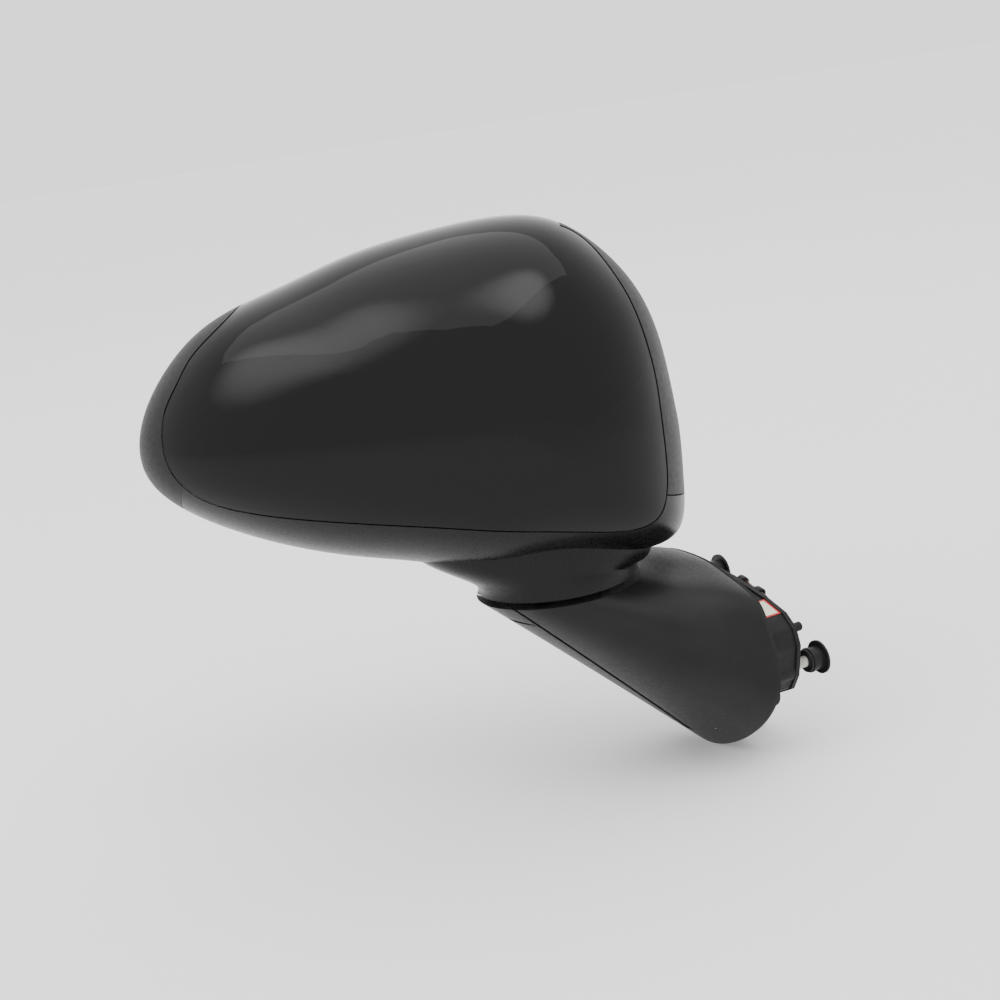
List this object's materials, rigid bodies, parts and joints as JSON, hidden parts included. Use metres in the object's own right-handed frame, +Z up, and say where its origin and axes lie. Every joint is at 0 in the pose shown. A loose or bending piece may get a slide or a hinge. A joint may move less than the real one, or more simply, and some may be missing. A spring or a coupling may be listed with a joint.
{
  "type": "car side mirror",
  "caption": "Folding right-hand car door mirror with gloss cap, electrically adjusted heated convex glass, door bracket with studs.",
  "frame": {"origin": "middle of the foot's mounting face, where the gasket meets the door skin", "axes": "+X into the door, +Y to the rear of the car, +Z up along the fold axis"},
  "size_m": [0.2463, 0.1696, 0.2502],
  "materials": {
    "gloss_black_paint": "gloss black lacquer",
    "satin_black_plastic": "satin moulded plastic",
    "grained_black_plastic": "fine-grained moulded plastic",
    "grained_black_plastic_foot": "fine-grained satin moulded plastic",
    "cast_bracket": "black-coated casting",
    "stud_steel": "zinc-plated thread",
    "zinc_screws": "zinc-plated",
    "gasket_rubber": "matt",
    "cap_plastic": "satin",
    "bearing_steel": "ground",
    "spring_steel": "oiled wire",
    "bush_plastic": "natural",
    "frame_plastic": "matt",
    "adjuster_plastic": "matt",
    "gear_plastic": "natural",
    "worm_brass": "machined",
    "motor_can": "plated can",
    "heater_film": "printed film",
    "mirror_glass": "silvered convex glass",
    "lead_sheath": "dark red-brown sheath",
    "plug_plastic": "satin",
    "label_film": "blank film with a red border"
  },
  "bodies": {
    "foot": {"foot_bracket": "cast_bracket", "foot_cover": "grained_black_plastic_foot", "foot_undercover": "grained_black_plastic_foot", "foot_screws": "zinc_screws", "door_studs": "stud_steel", "door_gasket": "gasket_rubber", "pivot_post": "bearing_steel", "detent_ring_lower": "bearing_steel", "pivot_washer": "bearing_steel", "spring_retainer": "bearing_steel", "pivot_spring": "spring_steel", "harness_lead": "lead_sheath", "lead_clips": "cap_plastic", "cable_grommet": "gasket_rubber", "wiring_plug": "plug_plastic", "foot_label": "label_film"},
    "head": {"head_frame": "frame_plastic", "painted_cap": "gloss_black_paint", "lower_cover": "satin_black_plastic", "rear_housing": "grained_black_plastic", "housing_screws": "zinc_screws", "detent_ring_upper": "bearing_steel", "pivot_bush": "bush_plastic", "adjuster_base": "adjuster_plastic", "adjuster_cover": "adjuster_plastic", "adjuster_screws": "zinc_screws", "tilt_motor": "motor_can", "pan_motor": "motor_can", "head_lead": "lead_sheath"},
    "swivel": {"swivel_ring": "gear_plastic"},
    "glass": {"glass_carrier": "frame_plastic", "heater_pad": "heater_film", "mirror_glass": "mirror_glass"},
    "tilt_plunger": {"tilt_plunger": "gear_plastic"},
    "pan_plunger": {"pan_plunger": "gear_plastic"},
    "tilt_wheel": {"tilt_wheel": "gear_plastic"},
    "pan_wheel": {"pan_wheel": "gear_plastic"},
    "tilt_worm": {"tilt_worm": "worm_brass"},
    "pan_worm": {"pan_worm": "worm_brass"},
    "cap_front": {"stud_cap_front": "cap_plastic"},
    "cap_rear": {"stud_cap_rear": "cap_plastic"},
    "cap_low": {"stud_cap_low": "cap_plastic"}
  },
  "joints": [
    {"name": "head_fold", "type": "hinge", "parent": "foot", "child": "head", "pos_m": [-0.066, 0.02, 0.0475], "axis": [0, 0, 1], "range_deg": [-65, 50]},
    {"name": "glass_pan", "type": "hinge", "parent": "head", "child": "swivel", "pos_m": [-0.09731, 0.06028, 0.12992], "axis": [0.1782, 0.0119, 0.9839], "range_deg": [-8, 8]},
    {"name": "glass_tilt", "type": "hinge", "parent": "swivel", "child": "glass", "pos_m": [-0.09731, 0.06028, 0.12992], "axis": [0.8894, -0.4298, -0.1558], "range_deg": [-8, 8]},
    {"name": "tilt_push", "type": "slide", "parent": "head", "child": "tilt_plunger", "axis": [0.421, 0.9029, -0.0872], "range_m": [-0.00355, 0.00355]},
    {"name": "pan_push", "type": "slide", "parent": "head", "child": "pan_plunger", "axis": [0.421, 0.9029, -0.0872], "range_m": [-0.00355, 0.00355]},
    {"name": "tilt_wheel_spin", "type": "hinge", "parent": "head", "child": "tilt_wheel", "pos_m": [-0.10124, 0.04296, 0.15524], "axis": [0.421, 0.9029, -0.0872], "range_deg": [-203.1, 203.1]},
    {"name": "pan_wheel_spin", "type": "hinge", "parent": "head", "child": "pan_wheel", "pos_m": [-0.08417, 0.03236, 0.12788], "axis": [0.421, 0.9029, -0.0872], "range_deg": [-203.1, 203.1]},
    {"name": "tilt_worm_spin", "type": "hinge", "parent": "head", "child": "tilt_worm", "pos_m": [-0.11378, 0.04902, 0.15743], "axis": [0.1782, 0.0119, 0.9839], "range_deg": [-2051, 2051]},
    {"name": "pan_worm_spin", "type": "hinge", "parent": "head", "child": "pan_worm", "pos_m": [-0.08668, 0.03219, 0.11401], "axis": [0.8894, -0.4298, -0.1558], "range_deg": [-2051, 2051]},
    {"name": "cap_front_pull", "type": "slide", "parent": "foot", "child": "cap_front", "axis": [1, 0, 0], "range_m": [0, 0.05]},
    {"name": "cap_rear_pull", "type": "slide", "parent": "foot", "child": "cap_rear", "axis": [1, 0, 0], "range_m": [0, 0.05]},
    {"name": "cap_low_pull", "type": "slide", "parent": "foot", "child": "cap_low", "axis": [1, 0, 0], "range_m": [0, 0.05]}
  ],
  "couplings": [
    {"joint": "tilt_push", "follows": "glass_tilt", "m_per_rad": -0.024},
    {"joint": "pan_push", "follows": "glass_pan", "m_per_rad": 0.024},
    {"joint": "tilt_wheel_spin", "follows": "glass_tilt", "ratio": 25.133},
    {"joint": "pan_wheel_spin", "follows": "glass_pan", "ratio": 25.133},
    {"joint": "tilt_worm_spin", "follows": "glass_tilt", "ratio": 251.33},
    {"joint": "pan_worm_spin", "follows": "glass_pan", "ratio": 251.33}
  ]
}
